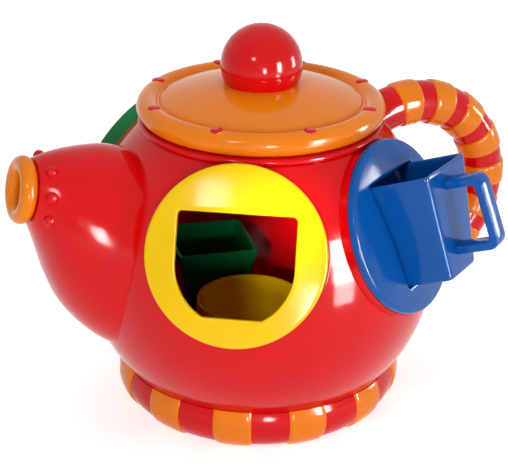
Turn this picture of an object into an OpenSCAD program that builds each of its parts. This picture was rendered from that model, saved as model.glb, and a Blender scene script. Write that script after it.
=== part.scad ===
// Toy teapot that sorts posted tea cups by shape.
// Millimetres, +Z up. The origin is on the pot's upright axis, in the plane it rests on.
// The spout points along -X, the handle along +X, and the two front panels face -Y.

/* [Pot] */
// outer radius of the round pot
pot_radius = 80; // [60:0.5:110]
// height of the pot's centre above the table
pot_mid = 70.5; // [50:0.5:100]
// wall of every red moulding
wall = 3; // [2:0.1:5]
// height of the pot's inside floor
floor_top = 16; // [10:0.5:30]
// inside radius of the neck
neck_bore = 47; // [35:0.5:60]
// height of the seat that carries the lid
lid_seat = 134; // [110:0.5:170]

/* [Base ring] */
// radius of the ring's centre line
base_radius = 51.3; // [40:0.1:70]
// radius of the red ring's tube
base_tube = 13.6; // [8:0.1:16]
// number of orange bands around the ring
base_bands_count = 12; // [8:1:24]
// share of the ring that one band covers, in degrees
base_band_angle = 15; // [6:0.5:20]
// angle at which the first band starts
base_band_first = 19; // [0:1:45]
// how far a band stands out from the tube it wraps
band_rise = 0.8; // [0.4:0.1:1.5]
// depth of the flat that each band rests on
band_flat = 0.4; // [0.2:0.05:0.5]
// thickness of the plate that closes the base
plate_thick = 4; // [2:0.5:8]

/* [Spout] */
// distance of the nozzle's mouth from the pot's axis
spout_reach = 108; // [95:0.5:130]
// height of the nozzle's mouth
spout_height = 115.8; // [90:0.5:130]
// upward tilt of the nozzle, in degrees
spout_tilt = 12; // [0:1:30]
// radius of the bore in the nozzle
nozzle_bore = 7.2; // [4:0.1:10]
// radius of the rolled lip's tube
lip_tube = 3.6; // [2:0.1:5]
// radius of one bump
bump_radius = 2.6; // [1.5:0.1:4]
// radius of the spout's swell where it grows out of the pot
spout_root = 39; // [30:0.5:42]
// radius of the swell half way up the pot's side
spout_belly = 34; // [26:0.5:38]
// radius of the swell where the neck begins
spout_throat = 23; // [18:0.5:26]
// radius of the neck behind the lip
spout_neck = 13; // [11:0.5:16]
// distance of the bumps behind the mouth
bump_back = 11.5; // [8:0.5:16]

/* [Handle] */
// distance of the loop's centre from the pot's axis
handle_mid_x = 75; // [60:0.5:100]
// height of the loop's centre
handle_mid_z = 90; // [70:0.5:110]
// radius of the loop's centre line
handle_loop = 41; // [30:0.5:55]
// radius of the red handle tube
handle_tube = 9.6; // [7:0.1:13]
// angle from one orange band to the next, in degrees
handle_band_pitch = 23; // [14:1:40]
// angle that one orange band covers, in degrees
handle_band_angle = 14; // [6:0.5:24]
// number of orange bands along the handle
handle_bands_count = 8; // [3:1:11]
// angle of the lowest band's middle below the loop's outermost point, in degrees
handle_band_lowest = 66; // [40:1:80]

/* [Panels] */
// radius of a sorting panel
panel_radius = 37.4; // [30:0.1:45]
// distance of a panel's seat from the pot's centre
panel_seat = 74.5; // [60:0.1:100]
// thickness of a panel
panel_thick = 3; // [2:0.1:5]
// rise of a panel from its edge to its middle
panel_rise = 3.5; // [1:0.1:8]
// upward tilt of the panels, in degrees
panel_tilt = 22; // [0:1:35]
// turn of the yellow and green panels away from straight ahead or back, in degrees
panel_turn = 31.5; // [25:0.5:40]
// turn of the blue panel away from straight ahead, in degrees
blue_panel_turn = 34; // [25:0.5:40]
// width of the ledge that a panel rests on
panel_ledge = 3.9; // [2:0.1:6]

/* [Lid] */
// outer radius of the lid
lid_radius = 54.2; // [45:0.1:65]
// radius of the lid's rolled rim
lid_rim = 5; // [2:0.1:7]
// height of the dome above the middle of the rim
lid_dome = 11.6; // [6:0.1:25]
// depth of the skirt below the seat
lid_skirt = 8; // [4:0.5:20]
// radius of the red ball on the lid
knob_radius = 17.75; // [12:0.05:25]
// height of the ball's centre above the top of the dome
knob_lift = 6.6; // [3:0.1:12]
// number of red dots around the rim
dot_count = 8; // [4:1:16]
// radius of one red dot
dot_radius = 2.8; // [1.5:0.1:4]

/* [Cups] */
// height of the round cup
round_height = 41; // [30:0.5:50]
// height of the square cups
square_height = 46; // [30:0.5:50]
// wall of every cup
cup_wall = 1.8; // [1.2:0.1:3]
// width of the square blue cup at its rim
blue_rim = 36; // [28:0.5:42]
// width of the square blue cup at its foot
blue_foot = 24; // [16:0.5:32]
// width of the square green cup at its rim
green_rim = 38; // [28:0.5:42]
// width of the square green cup at its foot
green_foot = 22; // [16:0.5:32]
// rim radius of the round yellow cup
yellow_rim_radius = 23.7; // [16:0.1:26]
// radius of the flat foot under the yellow cup
yellow_foot_radius = 12; // [8:0.1:16]
// how far a cup's handle stands out
cup_handle_reach = 17; // [10:0.5:22]
// height of the round cup's handle
round_handle = 25; // [16:0.5:30]
// height of a square cup's handle
square_handle = 32; // [16:0.5:36]
// width of a cup's handle strap
cup_handle_width = 8; // [5:0.5:12]
// thickness of a cup's handle strap
cup_handle_strap = 4; // [2.5:0.1:5]
// distance of the posted blue cup's middle from its panel's seat
blue_cup_out = 13; // [10:0.5:30]
// how far to the left of the pot's axis the yellow cup stands
yellow_left = 13; // [5:0.5:20]
// how far in front of the pot's axis the yellow cup stands
yellow_front = 20; // [10:0.5:25]
// how far to the left of the pot's axis the green cup stands
green_left = 9.4; // [0:0.1:15]
// how far behind the pot's axis the green cup stands
green_back = 35.6; // [30:0.1:37]

/* [Fits] */
// gap between pieces that are fixed to each other
joint_gap = 0.2; // [0.1:0.05:0.5]
// gap around a piece that moves
slide_gap = 0.6; // [0.3:0.05:1.2]
// play of a cup in its hole, on each side
hole_play = 0.7; // [0.4:0.1:2]

/* [Hidden] */
$fn = 96;
yellow_turn = 270 - panel_turn;
blue_turn = 270 + blue_panel_turn;
green_turn = 90 + panel_turn;
ledge_bore = panel_radius - panel_ledge;
boss_radius = panel_radius + 0.4;
panel_edge = panel_seat + joint_gap + panel_thick;
dome_radius = (panel_radius * panel_radius + panel_rise * panel_rise) / (2 * panel_rise);
dome_centre = panel_edge + panel_rise - dome_radius;
base_height = base_tube + band_rise - band_flat;
rim_ring = lid_radius - lid_rim;
rim_mid = lid_seat + joint_gap + lid_rim;
lid_cap_edge = rim_ring - 1;
lid_cap_rise = lid_dome - 2;
lid_cap_radius = (lid_cap_edge * lid_cap_edge + lid_cap_rise * lid_cap_rise) / (2 * lid_cap_rise);
lid_cap_centre = rim_mid + lid_dome - lid_cap_radius;
knob_mid = rim_mid + lid_dome + knob_lift;
dot_foot = rim_mid + lid_rim - 1.4;
// how far the feet of the round and square holes lie below their panels' middles
round_drop = round_height / 2 + 4;
square_drop = square_height / 2 + 0.5;
cup_base_clear = floor_top + joint_gap;
neck_rim = lid_seat - wall;
lip_ring = nozzle_bore + lip_tube;
swell_share = 0.985;
// the round part of the yellow cup is centred where its straight sides end
yellow_bowl = sqrt(yellow_rim_radius * yellow_rim_radius - yellow_foot_radius * yellow_foot_radius);
// middles and radii of the rounds that swell the spout: two at the pot, two at the mouth
spout_rounds = [
    [-pot_radius + 19, pot_mid + 7.1, spout_root],
    [-pot_radius + 9, pot_mid + 22.5, spout_belly],
    [-spout_reach + 24, spout_height - 8.8, spout_throat],
    [-spout_reach + 5, spout_height - 1.1, spout_neck]
];

// each pair of bumps: turn from the top of the spout, and distance from the mouth's axis
bump_seats = [[25.7, spout_neck + 3.2], [77.1, spout_neck + 3], [128.6, spout_neck + 8.6]];

// places its children on a panel: local Z is the panel's outward axis and local -X is uphill
module on_panel(turn) {
    translate([0, 0, pot_mid])
        rotate([0, 0, turn])
            rotate([0, 90 - panel_tilt, 0])
                children();
}

// places its children where the nozzle's mouth is, with local Z out of the mouth
module at_mouth() {
    translate([-spout_reach, 0, spout_height])
        rotate([0, -90 + spout_tilt, 0])
            children();
}

// the solid that rolls from one round to the next, just inside their common tangents
module swell(a, b, inset) {
    d = [b[0] - a[0], 0, b[1] - a[1]];
    long = norm(d);
    lean = (a[2] - b[2]) / long;
    flat = sqrt(1 - lean * lean) * swell_share;
    ra = a[2] - inset;
    rb = b[2] - inset;
    translate([a[0], 0, a[1]])
        rotate([0, atan2(d[0], d[2]), 0])
            translate([0, 0, ra * lean])
                cylinder(h = long - ra * lean + rb * lean, r1 = ra * flat, r2 = rb * flat);
}

module spout_form(inset) {
    for (i = [0 : len(spout_rounds) - 1])
        translate([spout_rounds[i][0], 0, spout_rounds[i][1]])
            sphere(r = spout_rounds[i][2] - inset);
    for (i = [0 : len(spout_rounds) - 2])
        swell(spout_rounds[i], spout_rounds[i + 1], inset);
}

module body_shell() {
    color([0.86, 0.03, 0.05])
    difference() {
        union() {
            translate([0, 0, pot_mid])
                sphere(r = pot_radius);
            for (turn = [yellow_turn, blue_turn, green_turn])
                on_panel(turn)
                    cylinder(h = panel_seat, r = boss_radius);
        }
        translate([0, 0, pot_mid])
            sphere(r = pot_radius - wall);
        for (turn = [yellow_turn, blue_turn, green_turn])
            on_panel(turn)
                cylinder(h = panel_seat + 10, r = ledge_bore);
        translate([0, 0, neck_rim - joint_gap])
            cylinder(h = pot_radius, r = pot_radius);
        translate([0, 0, pot_mid])
            cylinder(h = pot_radius, r = neck_bore);
        translate([0, 0, -pot_radius])
            cylinder(h = pot_radius + floor_top - wall, r = pot_radius);
    }
}

// the flat floor inside the pot, which the loose cups stand on
module pot_floor() {
    floor_radius = sqrt(pow(pot_radius - wall, 2) - pow(pot_mid - floor_top + wall, 2));
    color([0.80, 0.03, 0.05])
    translate([0, 0, floor_top - wall])
        cylinder(h = wall, r = floor_radius - joint_gap);
}

module neck_ring() {
    color([0.86, 0.03, 0.05])
    translate([0, 0, neck_rim])
        difference() {
            union() {
                cylinder(h = wall, r = neck_bore + 5.4);
                rotate_extrude()
                    translate([neck_bore + 5.2, wall / 2])
                        circle(r = wall / 2);
            }
            translate([0, 0, -1])
                cylinder(h = wall + 2, r = neck_bore);
        }
}

// a ring of tube with the pot's own roundness cut from its inner side
module base_tube_form(tube, angle) {
    difference() {
        translate([0, 0, base_height])
            rotate_extrude(angle = angle)
                translate([base_radius, 0])
                    circle(r = tube);
        translate([0, 0, pot_mid])
            sphere(r = pot_radius + joint_gap);
        translate([0, 0, -base_tube * 2])
            cylinder(h = base_tube * 2, r = pot_radius);
    }
}

module base_ring() {
    color([0.86, 0.03, 0.05])
        base_tube_form(base_tube, 360);
}

module base_bands() {
    color([0.95, 0.45, 0.05])
    for (i = [0 : base_bands_count - 1])
        rotate([0, 0, base_band_first + i * 360 / base_bands_count])
            difference() {
                base_tube_form(base_tube + band_rise, base_band_angle);
                translate([0, 0, base_height])
                    rotate_extrude()
                        translate([base_radius, 0])
                            circle(r = base_tube + joint_gap / 2);
            }
}

// closes the underside of the ring, out to where the bands meet the pot's roundness
module base_plate() {
    reach = base_tube + band_rise;
    pot_reach = pot_radius + joint_gap;
    drop = base_height - pot_mid;
    far = norm([base_radius, drop]);
    along = (pot_reach * pot_reach - reach * reach + far * far) / (2 * far);
    aside = sqrt(pot_reach * pot_reach - along * along);
    color([0.80, 0.03, 0.05])
        cylinder(h = plate_thick, r = (base_radius * along + drop * aside) / far - joint_gap);
}

module spout() {
    color([0.86, 0.03, 0.05])
    difference() {
        spout_form(0);
        spout_form(wall);
        translate([0, 0, pot_mid])
            sphere(r = pot_radius + joint_gap);
        at_mouth()
            translate([0, 0, -lip_tube - joint_gap])
                cylinder(h = 60, r = lip_ring * 2);
    }
}

// the rolled orange lip at the spout's end, with a short sleeve into its bore
module spout_lip() {
    color([0.95, 0.45, 0.05])
    at_mouth()
        difference() {
            union() {
                rotate_extrude()
                    translate([lip_ring, 0])
                        circle(r = lip_tube);
                translate([0, 0, -lip_tube - joint_gap / 2])
                    cylinder(h = lip_tube, r = lip_ring);
            }
            translate([0, 0, -20])
                cylinder(h = 40, r = nozzle_bore);
        }
}

// round bumps that stand out of the spout behind its lip, the lowest two on its chin
module spout_bumps() {
    color([0.86, 0.03, 0.05])
    difference() {
        at_mouth()
            for (seat = bump_seats)
                for (side = [-1, 1])
                    rotate([0, 0, side * seat[0]])
                        translate([seat[1], 0, -bump_back])
                            sphere(r = bump_radius);
        for (i = [1, 2]) {
            swell(spout_rounds[i], spout_rounds[i + 1], -joint_gap);
            translate([spout_rounds[i][0], 0, spout_rounds[i][1]])
                sphere(r = spout_rounds[i][2] + joint_gap);
        }
    }
}

// a stretch of the handle's loop between two angles, kept clear of the pot
module handle_stretch(tube, from, sweep) {
    difference() {
        translate([handle_mid_x, 0, handle_mid_z])
            rotate([90, 0, 0])
                rotate([0, 0, from])
                    rotate_extrude(angle = sweep)
                        translate([handle_loop, 0])
                            circle(r = tube);
        translate([0, 0, pot_mid])
            sphere(r = pot_radius + joint_gap);
        translate([0, 0, neck_rim - joint_gap])
            cylinder(h = pot_radius, r = lid_radius + slide_gap);
    }
}

module handle_core() {
    color([0.86, 0.03, 0.05])
        handle_stretch(handle_tube, -135, 270);
}

module handle_bands() {
    color([0.95, 0.45, 0.05])
    for (i = [0 : handle_bands_count - 1]) {
        from = i * handle_band_pitch - handle_band_lowest - handle_band_angle / 2;
        difference() {
            handle_stretch(handle_tube + band_rise, from, handle_band_angle);
            translate([handle_mid_x, 0, handle_mid_z])
                rotate([90, 0, 0])
                    rotate_extrude()
                        translate([handle_loop, 0])
                            circle(r = handle_tube + joint_gap / 2);
        }
    }
}

// a domed disc on its ledge; its child is the hole's outline, uphill along +Y
module panel(turn, drop) {
    on_panel(turn)
        difference() {
            intersection() {
                translate([0, 0, panel_seat + joint_gap])
                    cylinder(h = 20, r = panel_radius);
                translate([0, 0, dome_centre])
                    sphere(r = dome_radius);
            }
            intersection() {
                translate([0, 0, panel_seat - 10])
                    cylinder(h = 40, r = ledge_bore);
                translate([0, 0, dome_centre])
                    sphere(r = dome_radius - panel_thick);
            }
            translate([drop, 0, panel_seat - 20])
                rotate([0, 0, 90])
                    linear_extrude(height = 60)
                        children();
        }
}

// the outline that a tapered cup shows from the side, with its play
module taper_outline(rim, foot) {
    polygon([
        [-foot / 2 - hole_play, -hole_play],
        [foot / 2 + hole_play, -hole_play],
        [rim / 2 + hole_play, square_height + hole_play],
        [-rim / 2 - hole_play, square_height + hole_play]
    ]);
}

module panel_yellow() {
    color([1.0, 0.75, 0.0])
    panel(yellow_turn, round_drop) {
        intersection() {
            translate([0, yellow_bowl])
                circle(r = yellow_rim_radius + hole_play);
            translate([-yellow_rim_radius * 2, -hole_play])
                square([yellow_rim_radius * 4, yellow_bowl + hole_play]);
        }
        translate([-yellow_rim_radius - hole_play, yellow_bowl - 0.01])
            square([yellow_rim_radius * 2 + hole_play * 2, round_height - yellow_bowl + hole_play]);
    }
}

module panel_blue() {
    color([0.01, 0.20, 0.62])
    panel(blue_turn, square_drop)
        taper_outline(blue_rim, blue_foot);
}

module panel_green() {
    color([0.0, 0.42, 0.16])
    panel(green_turn, square_drop)
        taper_outline(green_rim, green_foot);
}

module lid() {
    color([0.95, 0.45, 0.05])
    difference() {
        union() {
            translate([0, 0, rim_mid])
                rotate_extrude()
                    translate([rim_ring, 0])
                        circle(r = lid_rim);
            intersection() {
                translate([0, 0, lid_cap_centre])
                    sphere(r = lid_cap_radius);
                translate([0, 0, lid_seat + joint_gap])
                    cylinder(h = 40, r = rim_ring);
            }
            translate([0, 0, lid_seat - lid_skirt])
                cylinder(h = lid_skirt + lid_rim, r = neck_bore - slide_gap);
        }
        translate([0, 0, lid_seat - lid_skirt - 1])
            cylinder(h = lid_skirt + 1 + joint_gap, r = neck_bore - slide_gap - wall);
        intersection() {
            translate([0, 0, lid_cap_centre])
                sphere(r = lid_cap_radius - wall);
            translate([0, 0, lid_seat])
                cylinder(h = 40, r = neck_bore - slide_gap - wall);
        }
        for (i = [0 : dot_count - 1])
            rotate([0, 0, i * 360 / dot_count])
                translate([rim_ring, 0, dot_foot - joint_gap / 2])
                    cylinder(h = 10, r = dot_radius + joint_gap / 2);
    }
}

module lid_dots() {
    color([0.86, 0.03, 0.05])
    for (i = [0 : dot_count - 1])
        rotate([0, 0, i * 360 / dot_count])
            translate([rim_ring, 0, dot_foot])
                cylinder(h = 1.8, r1 = dot_radius, r2 = dot_radius - 0.3);
}

module knob() {
    color([0.86, 0.03, 0.05])
    difference() {
        translate([0, 0, knob_mid])
            sphere(r = knob_radius);
        translate([0, 0, lid_cap_centre])
            sphere(r = lid_cap_radius + joint_gap / 2);
    }
}

// a square cup that narrows to its foot, open at the top
module square_cup(rim, foot) {
    lean = (rim - foot) / square_height;
    difference() {
        rotate([0, 0, 45])
            cylinder(h = square_height, r1 = foot / sqrt(2), r2 = rim / sqrt(2), $fn = 4);
        translate([0, 0, cup_wall])
            rotate([0, 0, 45])
                cylinder(h = square_height, r1 = (foot + lean * cup_wall - 2 * cup_wall) / sqrt(2),
                    r2 = (rim + lean * cup_wall - 2 * cup_wall) / sqrt(2), $fn = 4);
    }
}

// a round cup: straight sides above, a bowl below and a flat foot
module round_cup_form(inset) {
    translate([0, 0, yellow_bowl])
        cylinder(h = round_height - yellow_bowl + inset, r = yellow_rim_radius - inset);
    intersection() {
        translate([0, 0, yellow_bowl])
            sphere(r = yellow_rim_radius - inset);
        translate([0, 0, inset])
            cylinder(h = yellow_bowl, r = yellow_rim_radius);
    }
}

// a strap loop with rounded outer corners, its feet at local x = 0
module strap_loop(tall) {
    turn = cup_handle_strap * 1.4;
    root = 6;
    inner = tall - 2 * cup_handle_strap;
    difference() {
        union() {
            translate([-root, -cup_handle_width / 2, 0])
                cube([cup_handle_reach - turn + root, cup_handle_width, tall]);
            translate([0, -cup_handle_width / 2, turn])
                cube([cup_handle_reach, cup_handle_width, tall - 2 * turn]);
            for (z = [turn, tall - turn])
                translate([cup_handle_reach - turn, cup_handle_width / 2, z])
                    rotate([90, 0, 0])
                        cylinder(h = cup_handle_width, r = turn);
        }
        translate([-10, -cup_handle_width, cup_handle_strap])
            cube([10 + cup_handle_reach - cup_handle_strap, cup_handle_width * 2, inner]);
    }
}

// a square cup's handle, trimmed to the leaning wall that it grows from
module square_cup_handle(rim, foot) {
    difference() {
        translate([rim / 2 - 1.6, 0, (square_height - square_handle) / 2 + 1.5])
            strap_loop(square_handle);
        rotate([0, 0, 45])
            cylinder(h = square_height, r1 = (foot + joint_gap) / sqrt(2),
                r2 = (rim + joint_gap) / sqrt(2), $fn = 4);
    }
}

// a cup stands along local +Z with its foot at zero, and its handle along local +X
module posted_blue() {
    on_panel(blue_turn)
        translate([square_drop, 0, panel_seat + blue_cup_out])
            rotate([0, -90, 0])
                children();
}

module cup_blue() {
    color([0.01, 0.20, 0.62])
    posted_blue()
        square_cup(blue_rim, blue_foot);
}

module cup_blue_handle() {
    color([0.01, 0.20, 0.62])
    posted_blue()
        square_cup_handle(blue_rim, blue_foot);
}

module yellow_place() {
    translate([-yellow_left, -yellow_front, cup_base_clear])
        rotate([0, 0, -15])
            children();
}

module cup_yellow() {
    color([1.0, 0.75, 0.0])
    yellow_place()
        difference() {
            round_cup_form(0);
            round_cup_form(cup_wall);
        }
}

module cup_yellow_handle() {
    color([1.0, 0.75, 0.0])
    yellow_place()
        difference() {
            translate([yellow_rim_radius - 1.6, 0, round_height - round_handle - 3])
                strap_loop(round_handle);
            translate([0, 0, yellow_bowl])
                cylinder(h = round_height, r = yellow_rim_radius + joint_gap / 2);
            translate([0, 0, yellow_bowl])
                sphere(r = yellow_rim_radius + joint_gap / 2);
        }
}

module green_place() {
    translate([-green_left, green_back, cup_base_clear])
        rotate([0, 0, 171])
            children();
}

module cup_green() {
    color([0.0, 0.42, 0.16])
    green_place()
        square_cup(green_rim, green_foot);
}

module cup_green_handle() {
    color([0.0, 0.42, 0.16])
    green_place()
        square_cup_handle(green_rim, green_foot);
}

body_shell();
pot_floor();
neck_ring();
base_ring();
base_bands();
base_plate();
spout();
spout_lip();
spout_bumps();
handle_core();
handle_bands();
panel_yellow();
panel_blue();
panel_green();
lid();
lid_dots();
knob();
cup_blue();
cup_blue_handle();
cup_yellow();
cup_yellow_handle();
cup_green();
cup_green_handle();
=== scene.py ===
import math

import bmesh
import bpy
from mathutils import Matrix, Vector
from mathutils.bvhtree import BVHTree


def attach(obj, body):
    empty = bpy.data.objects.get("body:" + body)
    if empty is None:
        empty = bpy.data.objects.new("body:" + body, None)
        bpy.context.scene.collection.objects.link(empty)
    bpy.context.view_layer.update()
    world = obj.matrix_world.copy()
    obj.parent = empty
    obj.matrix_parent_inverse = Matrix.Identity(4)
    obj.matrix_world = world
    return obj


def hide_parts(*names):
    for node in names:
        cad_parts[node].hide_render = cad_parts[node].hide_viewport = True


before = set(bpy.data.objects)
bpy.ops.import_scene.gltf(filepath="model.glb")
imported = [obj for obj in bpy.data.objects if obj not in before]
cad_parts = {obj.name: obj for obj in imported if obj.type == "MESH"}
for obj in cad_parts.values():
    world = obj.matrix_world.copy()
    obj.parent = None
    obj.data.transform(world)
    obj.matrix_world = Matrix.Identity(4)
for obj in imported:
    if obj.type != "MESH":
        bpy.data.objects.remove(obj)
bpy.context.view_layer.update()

# Pot: one hollow red moulding with a round ledge for each panel, a flat floor
# inside, a collar that seats the lid and a plate that closes the base.
# Injection-moulded glossy plastic, with faint flow ripple and handling scuffs.
mm = 0.001
pot_mid = 70.5
pot_radius = 80.0
shade_low, shade_high = 0.93, 1.04
scuff_rise = 0.10


def set_inputs(node, values):
    """Sets a shader node's inputs by name."""
    for label, value in values.items():
        node.inputs[label].default_value = value


def moulded_plastic(name, colour, gloss):
    """Glossy toy plastic: slow colour drift, flow ripple and fine scuffs."""
    mat = bpy.data.materials.new(name)
    mat.use_nodes = True
    nodes = mat.node_tree.nodes
    links = mat.node_tree.links
    shader = nodes["Principled BSDF"]
    set_inputs(shader, {"IOR": 1.46, "Specular IOR Level": 0.2,
                        "Coat Weight": 0.03, "Coat Roughness": 0.03})
    place = nodes.new("ShaderNodeTexCoord")

    def noise(scale, detail):
        texture = nodes.new("ShaderNodeTexNoise")
        set_inputs(texture, {"Scale": scale, "Detail": detail})
        links.new(place.outputs["Object"], texture.inputs["Vector"])
        return texture.outputs["Fac"]

    def bump(height, strength, distance):
        relief = nodes.new("ShaderNodeBump")
        set_inputs(relief, {"Strength": strength, "Distance": distance})
        links.new(height, relief.inputs["Height"])
        return relief

    drift = nodes.new("ShaderNodeValToRGB")
    low, high = drift.color_ramp.elements
    low.position, high.position = 0.3, 0.7
    low.color = [c * shade_low for c in colour] + [1]
    high.color = [min(1, c * shade_high) for c in colour] + [1]
    links.new(noise(scale=22, detail=3), drift.inputs["Fac"])
    links.new(drift.outputs["Color"], shader.inputs["Base Color"])

    scuff = nodes.new("ShaderNodeMapRange")
    set_inputs(scuff, {"From Min": 0.35, "From Max": 0.75,
                       "To Min": gloss, "To Max": gloss + scuff_rise})
    links.new(noise(scale=140, detail=6), scuff.inputs["Value"])
    links.new(scuff.outputs["Result"], shader.inputs["Roughness"])

    ripple = bump(noise(scale=160, detail=2), strength=0.05, distance=0.0004)
    grain = bump(noise(scale=1800, detail=2), strength=0.03, distance=0.0001)
    links.new(ripple.outputs["Normal"], grain.inputs["Normal"])
    links.new(grain.outputs["Normal"], shader.inputs["Normal"])
    return mat


def dress(mat, *nodes):
    """Gives CAD nodes that keep their shape a finished material."""
    for node in nodes:
        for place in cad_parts[node].material_slots:
            place.material = mat


red = moulded_plastic("red_plastic", (0.70, 0.002, 0.004), 0.08)
dress(red, "body_shell", "pot_floor", "neck_ring", "base_plate")

# Base: a red ring tube under the pot, wrapped by broad orange bands that stand
# a little proud. Each band is a separate moulding, rounded at both edges and
# flat where it meets the table.
base_radius = 51.3
base_height = 14.0
base_tube = 13.6
base_bands = 12
base_band_first = math.radians(19)
base_band_turn = math.radians(15)
base_band_low, base_band_high = math.radians(-126), math.radians(31.5)
band_rise = 0.8
band_wall = 1.2
band_edge = 7
band_steps = 24
band_sides = 48
crease = math.radians(38)
weld, sliver = 1e-4, 1e-5
orange = moulded_plastic("orange_plastic", (0.90, 0.23, 0.004), 0.11)
dress(red, "base_ring")


def finish(name, bm, mat, slot="", body=None, *nodes):
    """Makes a mesh in millimetres into an object, which rides on a body if one is named."""
    bmesh.ops.remove_doubles(bm, verts=bm.verts, dist=weld)
    bmesh.ops.dissolve_degenerate(bm, edges=bm.edges, dist=sliver)
    bmesh.ops.recalc_face_normals(bm, faces=bm.faces)
    bmesh.ops.scale(bm, vec=(mm, mm, mm), verts=bm.verts)
    mesh = bpy.data.meshes.new(name)
    bm.to_mesh(mesh)
    bm.free()
    mesh.shade_smooth()
    mesh.set_sharp_from_angle(angle=crease)
    mesh.materials.append(mat)
    piece = bpy.data.objects.new(name, mesh)
    bpy.context.scene.collection.objects.link(piece)
    if body:
        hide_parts(*nodes)
        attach(piece, body)
    return piece


def skin(bm, rows, wrap):
    """Faces between rows of points; wrap joins the last row to the first."""
    rings = [[bm.verts.new(p) for p in row] for row in rows]
    count = len(rings)
    for i in range(count if wrap else count - 1):
        here, there = rings[i], rings[(i + 1) % count]
        for j in range(len(here)):
            k = (j + 1) % len(here)
            bm.faces.new((here[j], there[j], there[k], here[k]))
    return rings


def capped_skin(bm, rows):
    """Faces between rows of points, with one more face over each end."""
    rings = skin(bm, rows, False)
    bm.faces.new(rings[0])
    bm.faces.new(rings[-1])


def base_band_section(tube):
    """Outline of a band round the ring: (radius, height) out, then back inside."""
    turns = [base_band_low + (base_band_high - base_band_low) * i / band_sides
             for i in range(band_sides + 1)]
    outline = []
    for size, order in ((tube, turns), (tube - band_wall, turns[::-1])):
        for turn in order:
            height = base_height + size * math.sin(turn)
            outline.append((base_radius + size * math.cos(turn), max(height, 0.0)))
    return outline


def rounded_edge(share):
    """1 in the middle of a band, falling to 0 on a rounded edge."""
    away = abs(2 * share - 1)
    return math.sqrt(max(0.0, 1 - away ** band_edge))


# one band at the start of the ring, before it is repeated
band = bmesh.new()
rows = []
for step in range(band_steps + 1):
    share = step / band_steps
    turn = base_band_turn * share
    section = base_band_section(base_tube + band_rise * rounded_edge(share))
    rows.append([(r * math.cos(turn), r * math.sin(turn), z) for r, z in section])
capped_skin(band, rows)
base_band = finish("base_band_pattern", band, orange)


def repeat_tree(name):
    """Geometry Nodes tree that turns copies of one piece round an axis."""
    tree = bpy.data.node_groups.new(name, "GeometryNodeTree")
    for label, kind in (("Piece", "NodeSocketObject"), ("Count", "NodeSocketInt"),
                        ("First turn", "NodeSocketVector"), ("Step turn", "NodeSocketVector"),
                        ("Centre", "NodeSocketVector"), ("Finish", "NodeSocketMaterial")):
        tree.interface.new_socket(label, in_out="INPUT", socket_type=kind)
    tree.interface.new_socket("Geometry", in_out="OUTPUT", socket_type="NodeSocketGeometry")
    make = tree.nodes.new
    link = tree.links.new
    given = make("NodeGroupInput")
    line = make("GeometryNodeMeshLine")
    line.inputs["Offset"].default_value = (0, 0, 0)
    link(given.outputs["Count"], line.inputs["Count"])
    index = make("GeometryNodeInputIndex")
    turn = make("ShaderNodeVectorMath")
    turn.operation = "SCALE"
    link(given.outputs["Step turn"], turn.inputs[0])
    link(index.outputs[0], turn.inputs["Scale"])
    total = make("ShaderNodeVectorMath")
    link(turn.outputs[0], total.inputs[0])
    link(given.outputs["First turn"], total.inputs[1])
    pattern = make("GeometryNodeObjectInfo")
    link(given.outputs["Piece"], pattern.inputs["Object"])
    copies = make("GeometryNodeInstanceOnPoints")
    link(line.outputs["Mesh"], copies.inputs["Points"])
    link(pattern.outputs["Geometry"], copies.inputs["Instance"])
    link(total.outputs[0], copies.inputs["Rotation"])
    solid = make("GeometryNodeRealizeInstances")
    link(copies.outputs[0], solid.inputs[0])
    move = make("GeometryNodeTransform")
    link(solid.outputs[0], move.inputs["Geometry"])
    link(given.outputs["Centre"], move.inputs["Translation"])
    paint = make("GeometryNodeSetMaterial")
    link(move.outputs[0], paint.inputs["Geometry"])
    link(given.outputs["Finish"], paint.inputs["Material"])
    result = make("NodeGroupOutput")
    link(paint.outputs[0], result.inputs[0])
    return tree


around = repeat_tree("copies_round_an_axis")


def repeat(name, pattern, count, first, step, centre, mat, slot, body, *nodes):
    """Repeats a pattern with the tree and keeps the result as a plain mesh."""
    carrier = bpy.data.objects.new(name + "_carrier", bpy.data.meshes.new(name + "_carrier"))
    bpy.context.scene.collection.objects.link(carrier)
    modifier = carrier.modifiers.new("copies", "NODES")
    modifier.node_group = around
    values = {"Piece": pattern, "Count": count, "First turn": first, "Step turn": step,
              "Centre": centre, "Finish": mat}
    for item in around.interface.items_tree:
        if item.in_out == "INPUT":
            modifier[item.identifier] = values[item.name]
    depsgraph = bpy.context.evaluated_depsgraph_get()
    mesh = bpy.data.meshes.new_from_object(carrier.evaluated_get(depsgraph))
    carrier.modifiers.clear()
    bpy.data.objects.remove(carrier)
    bpy.data.objects.remove(pattern)
    mesh.name = name
    mesh.materials.clear()
    mesh.materials.append(mat)
    piece = bpy.data.objects.new(name, mesh)
    bpy.context.scene.collection.objects.link(piece)
    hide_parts(*nodes)
    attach(piece, body)


repeat("base_ring_bands", base_band, base_bands, (0, 0, base_band_first),
       (0, 0, 2 * math.pi / base_bands), (0, 0, 0), orange, "orange_plastic", "pot",
       "base_bands")

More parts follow.
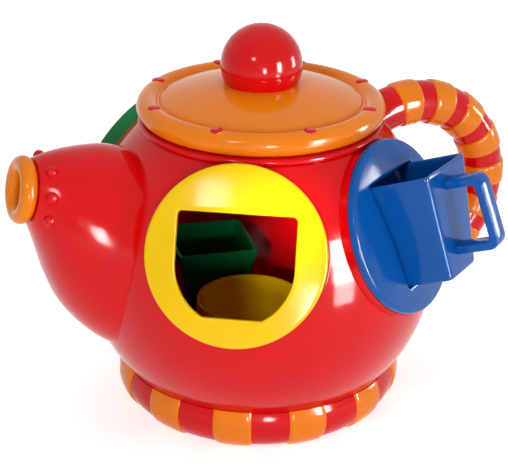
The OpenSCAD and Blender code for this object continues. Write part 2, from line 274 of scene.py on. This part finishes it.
# Spout: a red horn that grows out of the pot, nearly level above and bulging
# below into a chin. It meets the pot in a crease and ends in a round neck.
# Each station: top x and z, bottom x and z, half width.
spout_stations = [(-46, 118, -50, 35, 33), (-60, 126.5, -66, 36, 33.5),
                  (-70, 129.8, -77, 41.5, 32), (-79, 130.6, -87, 51, 29.5),
                  (-87, 130.6, -95.5, 63, 26), (-93.5, 130.1, -100.5, 76, 21.5),
                  (-98, 129.4, -103.8, 89, 17.2), (-101.4, 128.4, -107.2, 101.4, 13.8)]
spout_steps = 72
spout_sides = 72
spout_gap = 0.1
mouth = Matrix.Translation((-108, 0, 115.8)) @ Matrix.Rotation(math.radians(-78), 4, "Y")
nozzle_bore = 7.2
nozzle_depth = 26
lip_tube = 3.6
lip_ring = nozzle_bore + lip_tube
neck_end = -lip_tube - spout_gap


def full_turn(count):
    """Evenly spaced angles round a circle."""
    return [2 * math.pi * i / count for i in range(count)]


def between(points, share):
    """A point on the smooth curve through the given points."""
    place = share * (len(points) - 1)
    i = min(int(place), len(points) - 2)
    t = place - i
    a, b = points[max(i - 1, 0)], points[i]
    c, d = points[i + 1], points[min(i + 2, len(points) - 1)]
    return [0.5 * (2 * q + (r - p) * t + (2 * p - 5 * q + 4 * r - s) * t * t
                   + (3 * q - p - 3 * r + s) * t ** 3) for p, q, r, s in zip(a, b, c, d)]


horn = bmesh.new()
sides = full_turn(spout_sides)
rows = []
for step in range(spout_steps + 1):
    top_x, top_z, low_x, low_z, wide = between(spout_stations, step / spout_steps)
    middle = Vector(((top_x + low_x) / 2, 0, (top_z + low_z) / 2))
    lift = Vector(((top_x - low_x) / 2, 0, (top_z - low_z) / 2))
    rows.append([middle + lift * math.cos(t) + Vector((0, wide * math.sin(t), 0)) for t in sides])
for radius, depth in ((lip_ring, neck_end), (nozzle_bore, neck_end), (nozzle_bore, -nozzle_depth)):
    rows.append([mouth @ Vector((radius * math.cos(t), radius * math.sin(t), depth))
                 for t in sides])
capped_skin(horn, rows)
horn_surface = BVHTree.FromBMesh(horn)
pot_core = bmesh.new()
bmesh.ops.create_uvsphere(pot_core, u_segments=160, v_segments=100,
                          radius=pot_radius + spout_gap)
bmesh.ops.translate(pot_core, vec=(0, 0, pot_mid), verts=pot_core.verts)
core = finish("pot_core", pot_core, red)
whole_horn = finish("whole_horn", horn, red)
cut = whole_horn.modifiers.new("pot", "BOOLEAN")
cut.object = core
cut.operation = "DIFFERENCE"
cut.solver = "EXACT"
spout_mesh = bpy.data.meshes.new_from_object(
    whole_horn.evaluated_get(bpy.context.evaluated_depsgraph_get()))
bpy.data.objects.remove(whole_horn)
bpy.data.objects.remove(core)
spout_mesh.name = "spout_horn"
spout_mesh.set_sharp_from_angle(angle=crease)
spout_mesh.materials.clear()
spout_mesh.materials.append(red)
spout = bpy.data.objects.new("spout_horn", spout_mesh)
bpy.context.scene.collection.objects.link(spout)
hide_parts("spout")
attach(spout, "pot")

# Lip and bumps: a rolled orange ring closes the spout's mouth, and behind it
# three small red bumps stand out of each side of the neck.
lip_sides = 36
bump_radius = 2.6
bump_back = 8.5
bump_turns = (39, 80, 112)
bump_sink = 0.5
bump_ray_start = nozzle_bore + 1


def lathe(bm, outline, steps=144):
    """Turns a closed (radius, height) outline round the upright axis."""
    skin(bm, [[(r * math.cos(turn), r * math.sin(turn), z) for r, z in outline]
              for turn in full_turn(steps)], True)


lip = bmesh.new()
lathe(lip, [(lip_ring + lip_tube * math.cos(t), lip_tube * math.sin(t))
            for t in full_turn(lip_sides)])
bmesh.ops.transform(lip, matrix=mouth, verts=lip.verts)
finish("spout_lip_ring", lip, orange, "orange_plastic", "pot", "spout_lip")
bumps = bmesh.new()
bump_axis = mouth @ Vector((0, 0, -bump_back))
for bump_turn in bump_turns:
    for side in (-1, 1):
        t = math.radians(side * bump_turn)
        aim = (mouth.to_3x3() @ Vector((math.cos(t), math.sin(t), 0))).normalized()
        seat = horn_surface.ray_cast(bump_axis + aim * bump_ray_start, aim)[0]
        bmesh.ops.create_uvsphere(bumps, u_segments=32, v_segments=20, radius=bump_radius,
                                  matrix=Matrix.Translation(seat - aim * bump_sink))
finish("spout_neck_bumps", bumps, red, "red_plastic", "pot", "spout_bumps")

# Handle: a red loop of tube plugged into the pot, gripped by orange bands
# that swell between the red stretches.
handle_mid = (75.0, 0.0, 90.0)
handle_loop = 41.0
handle_tube = 9.6
handle_bands = 8
handle_lowest = math.radians(66)
handle_pitch = math.radians(23)
handle_band_turn = math.radians(14)
dress(red, "handle_core")
grip = bmesh.new()
rows = []
for step in range(band_steps + 1):
    share = step / band_steps
    turn = handle_band_turn * (share - 0.5)
    size = handle_tube + band_rise * rounded_edge(share)
    row = []
    for angle in full_turn(band_sides):
        far = handle_loop + size * math.cos(angle)
        row.append((far * math.cos(turn), size * math.sin(angle), far * math.sin(turn)))
    rows.append(row)
capped_skin(grip, rows)
handle_band = finish("handle_band_pattern", grip, orange)
repeat("handle_loop_bands", handle_band, handle_bands, (0, handle_lowest, 0),
       (0, -handle_pitch, 0), [v * mm for v in handle_mid], orange, "orange_plastic", "pot",
       "handle_bands")

# Panels: domed discs pressed on to the pot's ledges, each with a hole in the
# outline of the cup that it takes. Edges and hole corners are softly rounded.
# The green one has a skirt that covers its ledge.
panel_radius = 37.4
panel_foot = 74.7
panel_thick = 3.0
panel_sides = 240
panel_tilt = math.radians(22)
ledge_bore = 33.5
dome_radius = 201.57
dome_centre = -120.37
dome_steps = 9
# the way in from an edge and the drop below the dome, round both edges
hole_edge = ((0, 2.9), (0, 0.8), (0.12, 0.4), (0.4, 0.12), (0.8, 0.0))
rim_edge = ((1.2, 0.0), (0.7, 0.1), (0.35, 0.35), (0.1, 0.7), (0.0, 1.2))
back_edge = 0.3
back_step = 0.1
skirt_wall = 0.6
green_skirt = 5.0
hole_play = 0.7
hole_corner = 1.5
round_drop = 24.5
square_drop = 23.5
round_height = 41.0
square_height = 46.0
yellow_turn, blue_turn, green_turn = 238.5, 304.0, 121.5
blue_rim, blue_foot = 36, 24
green_rim, green_foot = 38, 22
nearly_straight = 1.5
yellow = moulded_plastic("yellow_plastic", (0.98, 0.60, 0.001), 0.11)
blue = moulded_plastic("blue_plastic", (0.001, 0.095, 0.40), 0.09)
green = moulded_plastic("green_plastic", (0.002, 0.20, 0.045), 0.11)


def rounded(corners, segments=6):
    """A closed outline of (x, y, radius) corners, each turned with its radius."""
    outline = []
    for i, (x, y, radius) in enumerate(corners):
        here = Vector((x, y))
        back = (Vector(corners[i - 1][:2]) - here).normalized()
        on = (Vector(corners[(i + 1) % len(corners)][:2]) - here).normalized()
        half = math.acos(max(-1, min(1, back.dot(on)))) / 2
        if radius <= 0 or half > nearly_straight:
            outline.append((x, y))
            continue
        centre = here + (back + on).normalized() * (radius / math.sin(half))
        start = here + back * (radius / math.tan(half)) - centre
        stop = here + on * (radius / math.tan(half)) - centre
        first = math.atan2(start.y, start.x)
        sweep = (math.atan2(stop.y, stop.x) - first + math.pi) % (2 * math.pi) - math.pi
        for k in range(segments + 1):
            turn = first + sweep * k / segments
            outline.append((centre.x + radius * math.cos(turn),
                            centre.y + radius * math.sin(turn)))
    return outline


def outline_reach(outline, start, turn):
    """How far a ray from start meets a closed outline."""
    dx, dy = math.cos(turn), math.sin(turn)
    best = 0.0
    for i in range(len(outline)):
        ax, ay = outline[i - 1][0] - start[0], outline[i - 1][1] - start[1]
        bx, by = outline[i][0] - start[0], outline[i][1] - start[1]
        ex, ey = bx - ax, by - ay
        cross = dx * ey - dy * ex
        if abs(cross) < 1e-9:
            continue
        far = (ax * ey - ay * ex) / cross
        share = (ax * dy - ay * dx) / cross
        if far > 0 and -1e-6 <= share <= 1 + 1e-6:
            best = max(best, far)
    return best


def circle_reach(radius, start, aim):
    """How far a ray from start meets a circle round the panel's axis."""
    along = start.dot(aim)
    return -along + math.sqrt(along * along - start.dot(start) + radius ** 2)


def panel_place(turn):
    """Matrix from a panel's own axes to the pot's."""
    return (Matrix.Translation((0, 0, pot_mid)) @ Matrix.Rotation(math.radians(turn), 4, "Z")
            @ Matrix.Rotation(math.pi / 2 - panel_tilt, 4, "Y"))


def make_panel(name, turn, drop, tall, hole, mat, slot, node, skirt=0.0):
    """A domed disc with rounded edges round a hole, in its place on the pot."""
    inner = [(drop - up, side) for side, up in hole]
    start = Vector((drop - tall / 2, 0.0))
    turns = full_turn(panel_sides)
    turns += [math.atan2(y - start.y, x - start.x) % (2 * math.pi) for x, y in inner]
    flat_from, flat_to = hole_edge[-1][0], rim_edge[0][0]
    rows = []
    for ray in sorted(set(round(t, 5) for t in turns)):
        aim = Vector((math.cos(ray), math.sin(ray)))
        near = outline_reach(inner, start, ray)
        far = circle_reach(panel_radius, start, aim)
        ledge = max(circle_reach(ledge_bore, start, aim), near + back_edge)

        def domed(reach, sink):
            p = start + aim * reach
            return p.x, p.y, dome_centre + math.sqrt(dome_radius ** 2 - p.length_squared) - sink

        def level(reach, height):
            p = start + aim * reach
            return p.x, p.y, height

        row = [domed(near + reach, sink) for reach, sink in hole_edge]
        row += [domed(near + flat_from + (far - near - (flat_from + flat_to)) * i / dome_steps, 0.0)
                for i in range(1, dome_steps)]
        row += [domed(far - reach, sink) for reach, sink in rim_edge]
        if skirt:
            row += [level(far + skirt_wall, panel_foot),
                    level(far + skirt_wall, panel_foot - skirt)]
        row += [level(far, panel_foot - skirt), level(ledge, panel_foot),
                domed(ledge - back_step, panel_thick)]
        rows.append(row)
    bm = bmesh.new()
    skin(bm, rows, True)
    bmesh.ops.transform(bm, matrix=panel_place(turn), verts=bm.verts)
    finish(name, bm, mat, slot, "pot", node)


def taper_hole(rim, foot):
    """Outline of a tapered cup seen from its side, with its play."""
    low, high = foot / 2 + hole_play, rim / 2 + hole_play
    top = square_height + hole_play
    return rounded([(-low, -hole_play, hole_corner), (low, -hole_play, hole_corner),
                    (high, top, hole_corner), (-high, top, hole_corner)])


cup_round = 23.7
cup_round_foot = 12.0
bowl_mid = math.sqrt(cup_round ** 2 - cup_round_foot ** 2)
bowl_steps = 20
bowl = cup_round + hole_play
foot_turn = math.asin((bowl_mid + hole_play) / bowl)
round_top = round_height + hole_play
round_side = round_height - 6
round_corner = 2.0
round_hole = [(bowl * math.cos(t), bowl_mid + bowl * math.sin(t))
              for t in [-math.pi + foot_turn * i / bowl_steps for i in range(bowl_steps + 1)]]
round_hole += [(-x, y) for x, y in reversed(round_hole)]
round_hole += rounded([(bowl, round_side, 0), (bowl, round_top, round_corner),
                       (-bowl, round_top, round_corner), (-bowl, round_side, 0)])
make_panel("yellow_panel", yellow_turn, round_drop, round_height, round_hole,
           yellow, "yellow_plastic", "panel_yellow")
make_panel("blue_panel", blue_turn, square_drop, square_height, taper_hole(blue_rim, blue_foot),
           blue, "blue_plastic", "panel_blue")
make_panel("green_panel", green_turn, square_drop, square_height,
           taper_hole(green_rim, green_foot), green, "green_plastic", "panel_green", green_skirt)

# Lid: one orange moulding with a rolled rim, a shallow valley and a low dome.
# A skirt under it drops into the neck. Red dots are set into the rim.
rim_mid = 139.2
rim_ring = 49.2
rim_tube = 5.0
rim_from, rim_step, rim_count = 148, 11, 23
lid_top = 150.8
lid_curve = 125.8
lid_wall = 3.0
lid_sides = 192
lid_edge, lid_edge_steps = 43.2, 24
lid_valley = ((43.8, 0.25), (44.3, 0.8))
under_edge, under_steps = 43.0, 10
skirt_out = 46.4
skirt_in = skirt_out - lid_wall
skirt_root, skirt_foot, skirt_round = 137.0, 126.0, 0.6
skirt_fillet = ((skirt_out + 0.4, 134.25), (skirt_out, 133.6))


def lid_height(r, sink=0.0):
    """Height of the dome's outer face at a radius, or of a face sunk below it."""
    return lid_top - lid_curve + math.sqrt((lid_curve - sink) ** 2 - r * r)


outline = [(r, lid_height(r))
           for r in [lid_edge * i / lid_edge_steps for i in range(lid_edge_steps + 1)]]
outline += [(r, lid_height(r) - sink) for r, sink in lid_valley]
outline += [(rim_ring + rim_tube * math.cos(t), rim_mid + rim_tube * math.sin(t))
            for t in [math.radians(rim_from - rim_step * i) for i in range(rim_count)]]
outline += skirt_fillet
outline += [(skirt_out, skirt_foot + skirt_round), (skirt_out - skirt_round, skirt_foot),
            (skirt_in + skirt_round, skirt_foot), (skirt_in, skirt_foot + skirt_round),
            (skirt_in, skirt_root)]
outline += [(r, lid_height(r, lid_wall))
            for r in [under_edge * i / under_steps for i in range(under_steps, -1, -1)]]
lid = bmesh.new()
lathe(lid, outline, lid_sides)
finish("lid_dome", lid, orange, "orange_plastic", "lid_unit", "lid")
dot_count = 8
dot_sides = 40
dot_radius = 2.8
dot_foot = 142.8
# radius and height above the foot, up a dot's side and over its top
dot_outline = ((0, 0), (dot_radius, 0), (dot_radius, 1.0), (dot_radius - 0.15, 1.35),
               (dot_radius - 0.5, 1.6), (dot_radius * 0.5, 1.8), (0, 1.85))
spot = bmesh.new()
lathe(spot, [(r, dot_foot + up) for r, up in dot_outline], dot_sides)
bmesh.ops.translate(spot, vec=(rim_ring, 0, 0), verts=spot.verts)
dot = finish("rim_dot_pattern", spot, red)
repeat("lid_rim_dots", dot, dot_count, (0, 0, 0), (0, 0, 2 * math.pi / dot_count), (0, 0, 0), red,
       "red_plastic", "lid_unit", "lid_dots")

# Knob: a red ball on the lid, sunk a little into the dome and fixed from
# below. A fine undercut marks where it meets the lid.
knob_mid = 157.4
knob_radius = 17.75
knob_steps = 48
knob_sides = 128
knob_low = math.radians(-25.5)
knob_seat = ((15.5, 149.3), (15.2, 148.8), (0, 148.8))
outline = [(0, knob_mid + knob_radius)]
outline += [(knob_radius * math.cos(t), knob_mid + knob_radius * math.sin(t))
            for t in [math.pi / 2 + (knob_low - math.pi / 2) * i / knob_steps
                      for i in range(1, knob_steps + 1)]]
outline += knob_seat
ball = bmesh.new()
lathe(ball, outline, knob_sides)
finish("knob_ball", ball, red, "red_plastic", "lid_unit", "knob")

# Blue cup: a square cup that narrows to its foot, posted half way through its
# hole, with a flat strap loop on its outer side. Thin wall, rounded corners.
blue_rim_reach = 87.5
blue_place = (panel_place(blue_turn) @ Matrix.Translation((square_drop, 0, blue_rim_reach))
              @ Matrix.Rotation(-math.pi / 2, 4, "Y"))
cup_wall = 1.8
cup_corner = 2.6
cup_corner_steps = 7
strap_reach, strap_thick, strap_wide = 17.0, 4.0, 8.0
strap_bend, strap_inner_bend, strap_bend_steps = 5.0, 2.2, 8
strap_edge = 0.9
strap_inset = 1.6
strap_sink = 1
square_strap_tall, square_strap_low = 32.0, 8.5


def square_cup(name, rim, foot, place, mat, slot, body, node):
    """A tapered square cup with a rounded lip, foot and corners."""
    lean = (rim - foot) / 2 / square_height
    top = square_height

    def half(z):
        return foot / 2 + lean * z

    # half width and height: up the outside, over the lip, down the inside
    levels = [(half(0) - 1.2, 0), (half(0.35) - 0.35, 0.35), (half(1.2), 1.2)]
    levels += [(half(z), z) for z in (2, 10, 20, 30, top - 1.6, top - 0.8)]
    levels += [(half(top) - 0.2, top - 0.3), (half(top) - 0.6, top), (half(top) - 1.2, top),
               (half(top) - 1.6, top - 0.3), (half(top - 0.8) - cup_wall, top - 0.8)]
    levels += [(half(z) - cup_wall, z) for z in (top - 1.6, 30, 20, 10, 4)]
    levels += [(half(2.8) - cup_wall, 2.8), (half(2) - cup_wall - 0.3, 2.1),
               (half(1.8) - cup_wall - 1.2, 1.8)]
    rows = []
    for size, z in levels:
        corner = min(cup_corner, size - 1)
        square = [(size, size, corner), (-size, size, corner),
                  (-size, -size, corner), (size, -size, corner)]
        rows.append([(x, y, z) for x, y in rounded(square, cup_corner_steps)])
    bm = bmesh.new()
    capped_skin(bm, rows)
    bmesh.ops.transform(bm, matrix=place, verts=bm.verts)
    finish(name, bm, mat, slot, body, node)


def strap(name, tall, root_low, root_high, base, place, mat, slot, body, node):
    """A flat strap loop; its two feet start at the wall that carries it."""
    tip = base + strap_reach
    inner_tip, inner_top = tip - strap_thick, tall - strap_thick
    outline = rounded([(root_low, 0, 0), (tip, 0, strap_bend), (tip, tall, strap_bend),
                       (root_high, tall, 0), (root_high, inner_top, 0),
                       (inner_tip, inner_top, strap_inner_bend),
                       (inner_tip, strap_thick, strap_inner_bend),
                       (root_low, strap_thick, 0)], strap_bend_steps)
    bm = bmesh.new()
    side = bm.faces.new([bm.verts.new((x, -strap_wide / 2, z)) for x, z in outline])
    grown = bmesh.ops.extrude_face_region(bm, geom=[side])
    moved = [v for v in grown["geom"] if isinstance(v, bmesh.types.BMVert)]
    bmesh.ops.translate(bm, vec=(0, strap_wide, 0), verts=moved)
    bm.edges.ensure_lookup_table()
    rims = [e for e in bm.edges if abs(e.verts[0].co.y - e.verts[1].co.y) < 1e-6]
    bmesh.ops.bevel(bm, geom=rims, offset=strap_edge, segments=3, profile=0.5, affect="EDGES")
    bmesh.ops.transform(bm, matrix=place, verts=bm.verts)
    finish(name, bm, mat, slot, body, node)


def square_strap(name, rim, foot, place, mat, slot, body, node):
    """A square cup's strap loop, its feet sunk into the leaning wall."""
    lean = (rim - foot) / 2 / square_height
    upper = square_strap_low + square_strap_tall - strap_thick
    strap(name, square_strap_tall, foot / 2 + lean * square_strap_low - strap_sink,
          foot / 2 + lean * upper - strap_sink, rim / 2 - strap_inset,
          place @ Matrix.Translation((0, 0, square_strap_low)), mat, slot, body, node)


square_cup("blue_cup_bowl", blue_rim, blue_foot, blue_place, blue, "blue_plastic", "blue_cup",
           "cup_blue")
square_strap("blue_cup_strap", blue_rim, blue_foot, blue_place, blue, "blue_plastic", "blue_cup",
             "cup_blue_handle")

# Yellow cup: a round cup with straight sides, a bowl below and a flat foot.
# It stands loose on the floor inside the pot.
floor_top = 16.2
yellow_place = (Matrix.Translation((-13, -20, floor_top))
                @ Matrix.Rotation(math.radians(-15), 4, "Z"))
round_sides = 128
foot_round = 0.6
# inset and height, over the lip from the outer to the inner side
round_lip = ((0, 40.2), (0.25, 40.8), (0.9, 41.0), (1.55, 40.8), (cup_wall, 40.2))
round_strap_tall, round_strap_low, round_strap_sink = 25.0, 13.0, 2.2


def bowl_side(inset):
    """Half outline of the round cup from its foot up, kept inside by a wall."""
    size = cup_round - inset
    low = math.asin(min(1, (bowl_mid - inset) / size))
    return [(size * math.cos(t), bowl_mid + size * math.sin(t))
            for t in [-low + low * i / bowl_steps for i in range(bowl_steps + 1)]]


outside = bowl_side(0.0)
outline = [(0, 0.0), (outside[0][0] - foot_round, 0.0)] + outside
outline += [(cup_round - inset, height) for inset, height in round_lip]
outline += bowl_side(cup_wall)[::-1] + [(0, cup_wall)]
round_cup = bmesh.new()
lathe(round_cup, outline, round_sides)
bmesh.ops.transform(round_cup, matrix=yellow_place, verts=round_cup.verts)
finish("yellow_cup_bowl", round_cup, yellow, "yellow_plastic", "yellow_cup", "cup_yellow")
strap("yellow_cup_strap", round_strap_tall, cup_round - round_strap_sink, cup_round - strap_sink,
      cup_round - strap_inset, yellow_place @ Matrix.Translation((0, 0, round_strap_low)),
      yellow, "yellow_plastic", "yellow_cup", "cup_yellow_handle")

# Green cup: a square cup with a wide rim and a narrow foot, loose on the floor
# behind the yellow one.
green_place = (Matrix.Translation((-9.4, 35.6, floor_top))
               @ Matrix.Rotation(math.radians(171), 4, "Z"))
square_cup("green_cup_bowl", green_rim, green_foot, green_place, green, "green_plastic",
           "green_cup", "cup_green")
square_strap("green_cup_strap", green_rim, green_foot, green_place, green, "green_plastic",
             "green_cup", "cup_green_handle")

# Studio: a white floor that keeps the shadow, in a white surround. Soft lamps
# light the pot, cards that only gleam stand for the photo's windows, and a
# narrow spot reaches in through the yellow hole.
floor_half = 6
pot_centre = Vector((0, 0, pot_mid * mm))


def seen_rays(tree):
    """1 for rays from the camera, through glass or off a gloss, 0 for all others."""
    path = tree.nodes.new("ShaderNodeLightPath")
    seen = path.outputs["Is Camera Ray"]
    for kind in ("Is Transmission Ray", "Is Glossy Ray"):
        either = tree.nodes.new("ShaderNodeMath")
        either.operation = "MAXIMUM"
        tree.links.new(seen, either.inputs[0])
        tree.links.new(path.outputs[kind], either.inputs[1])
        seen = either.outputs[0]
    return seen


floor_mesh = bpy.data.meshes.new("studio_floor")
floor_mesh.from_pydata([(-floor_half, -floor_half, 0), (floor_half, -floor_half, 0),
                        (floor_half, floor_half, 0), (-floor_half, floor_half, 0)],
                       [], [(0, 1, 2, 3)])
floor = bpy.data.objects.new("studio_floor", floor_mesh)
bpy.context.scene.collection.objects.link(floor)
paper = bpy.data.materials.new("studio_paper")
paper.use_nodes = True
paper_nodes = paper.node_tree.nodes
paper_links = paper.node_tree.links
paper_shader = paper_nodes["Principled BSDF"]
set_inputs(paper_shader, {"Roughness": 0.9, "Base Color": (0.96, 0.96, 0.96, 1),
                          "Emission Color": (1, 1, 1, 1)})
paper_place = paper_nodes.new("ShaderNodeTexCoord")
paper_far = paper_nodes.new("ShaderNodeVectorMath")
paper_far.operation = "LENGTH"
paper_level = paper_nodes.new("ShaderNodeMapRange")
set_inputs(paper_level, {"From Min": 0.3, "From Max": 1.4, "To Min": 0.6, "To Max": 0.96})
paper_glow = paper_nodes.new("ShaderNodeMath")
paper_glow.operation = "MULTIPLY"
paper_links.new(paper_place.outputs["Object"], paper_far.inputs[0])
paper_links.new(paper_far.outputs["Value"], paper_level.inputs["Value"])
paper_links.new(seen_rays(paper.node_tree), paper_glow.inputs[0])
paper_links.new(paper_level.outputs["Result"], paper_glow.inputs[1])
paper_links.new(paper_glow.outputs[0], paper_shader.inputs["Emission Strength"])
floor_mesh.materials.append(paper)

world = bpy.data.worlds.new("studio_surround")
world.use_nodes = True
bpy.context.scene.world = world
sky = world.node_tree.nodes["Background"]
sky.inputs["Color"].default_value = (1, 1, 1, 1)
sky_level = world.node_tree.nodes.new("ShaderNodeMapRange")
set_inputs(sky_level, {"To Min": 0.15, "To Max": 1.0})
world.node_tree.links.new(seen_rays(world.node_tree), sky_level.inputs["Value"])
world.node_tree.links.new(sky_level.outputs["Result"], sky.inputs["Strength"])


def hang(name, lamp, place, aim, lights=True, gleams=True):
    """Hangs a lamp turned toward a point; it lights, gleams or both."""
    holder = bpy.data.objects.new(name, lamp)
    holder.location = place
    holder.visible_diffuse = lights
    holder.visible_glossy = gleams
    holder.visible_camera = False
    holder.rotation_euler = (Vector(aim) - Vector(place)).to_track_quat("-Z", "Y").to_euler()
    bpy.context.scene.collection.objects.link(holder)


def softbox(name, place, width, height, power, aim=pot_centre, lights=True, gleams=True):
    """A rectangular lamp, or a card that only gleams."""
    lamp = bpy.data.lights.new(name, "AREA")
    lamp.shape = "RECTANGLE"
    lamp.size = width
    lamp.size_y = height
    lamp.energy = power
    hang(name, lamp, place, aim, lights, gleams)


softbox("key_light", (-0.62, -0.55, 0.62), 0.14, 0.14, 1.7)
softbox("side_light", (0.55, -0.62, 0.30), 0.30, 0.30, 1.7, gleams=False)
softbox("top_light", (0.1, 0.25, 1.1), 0.9, 0.9, 5.0, gleams=False)
softbox("front_light", (-0.40, -0.90, 0.22), 0.3, 0.2, 3.0, gleams=False)
softbox("window_gleam", (0.363, -0.713, 0.20), 0.16, 0.34, 13, lights=False)
softbox("far_gleam", (0.75, -0.18, 0.18), 0.14, 0.26, 3.2, lights=False)
softbox("near_gleam", (0.099, -0.25, 0.057), 0.05, 0.07, 0.35, (0.003, -0.077, 0.085),
        lights=False)
softbox("low_gleam", (-0.21, -0.78, 0.13), 0.10, 0.18, 3.5, lights=False)
hole_lamp = bpy.data.lights.new("hole_light", "SPOT")
hole_lamp.energy = 38
hole_lamp.spot_size = math.radians(3.4)
hole_lamp.spot_blend = 0.7
hole_lamp.shadow_soft_size = 0.02
hang("hole_light", hole_lamp, (-0.33, -0.55, 0.34), (-0.022, -0.065, 0.111), gleams=False)

# Camera: a short telephoto from the front left, a little above the lid and
# rolled slightly, as in the photograph. Its focal length and shift were fitted
# in pixels of a picture 508 wide.
azimuth, elevation, roll = math.radians(-23.9), math.radians(25.0), math.radians(0.78)
distance = 0.63875
photo_wide = 508
focal_pixels = 1401.75
shift_pixels = (-5.08, 14.49)
sensor = 36
back = Vector((math.sin(azimuth) * math.cos(elevation),
               -math.cos(azimuth) * math.cos(elevation), math.sin(elevation)))
right = Vector((math.cos(azimuth), math.sin(azimuth), 0))
above = back.cross(right)
camera_right = right * math.cos(roll) + above * math.sin(roll)
camera_up = above * math.cos(roll) - right * math.sin(roll)
lens = bpy.data.cameras.new("photo_camera")
lens.sensor_width = sensor
lens.lens = sensor * focal_pixels / photo_wide
lens.shift_x = shift_pixels[0] / photo_wide
lens.shift_y = shift_pixels[1] / photo_wide
lens.clip_start = 0.05
camera = bpy.data.objects.new("photo_camera", lens)
turned = Matrix((camera_right, camera_up, back)).transposed().to_4x4()
camera.matrix_world = Matrix.Translation(pot_centre + back * distance) @ turned
bpy.context.scene.collection.objects.link(camera)
bpy.context.scene.camera = camera
bpy.context.scene.view_settings.view_transform = "Standard"
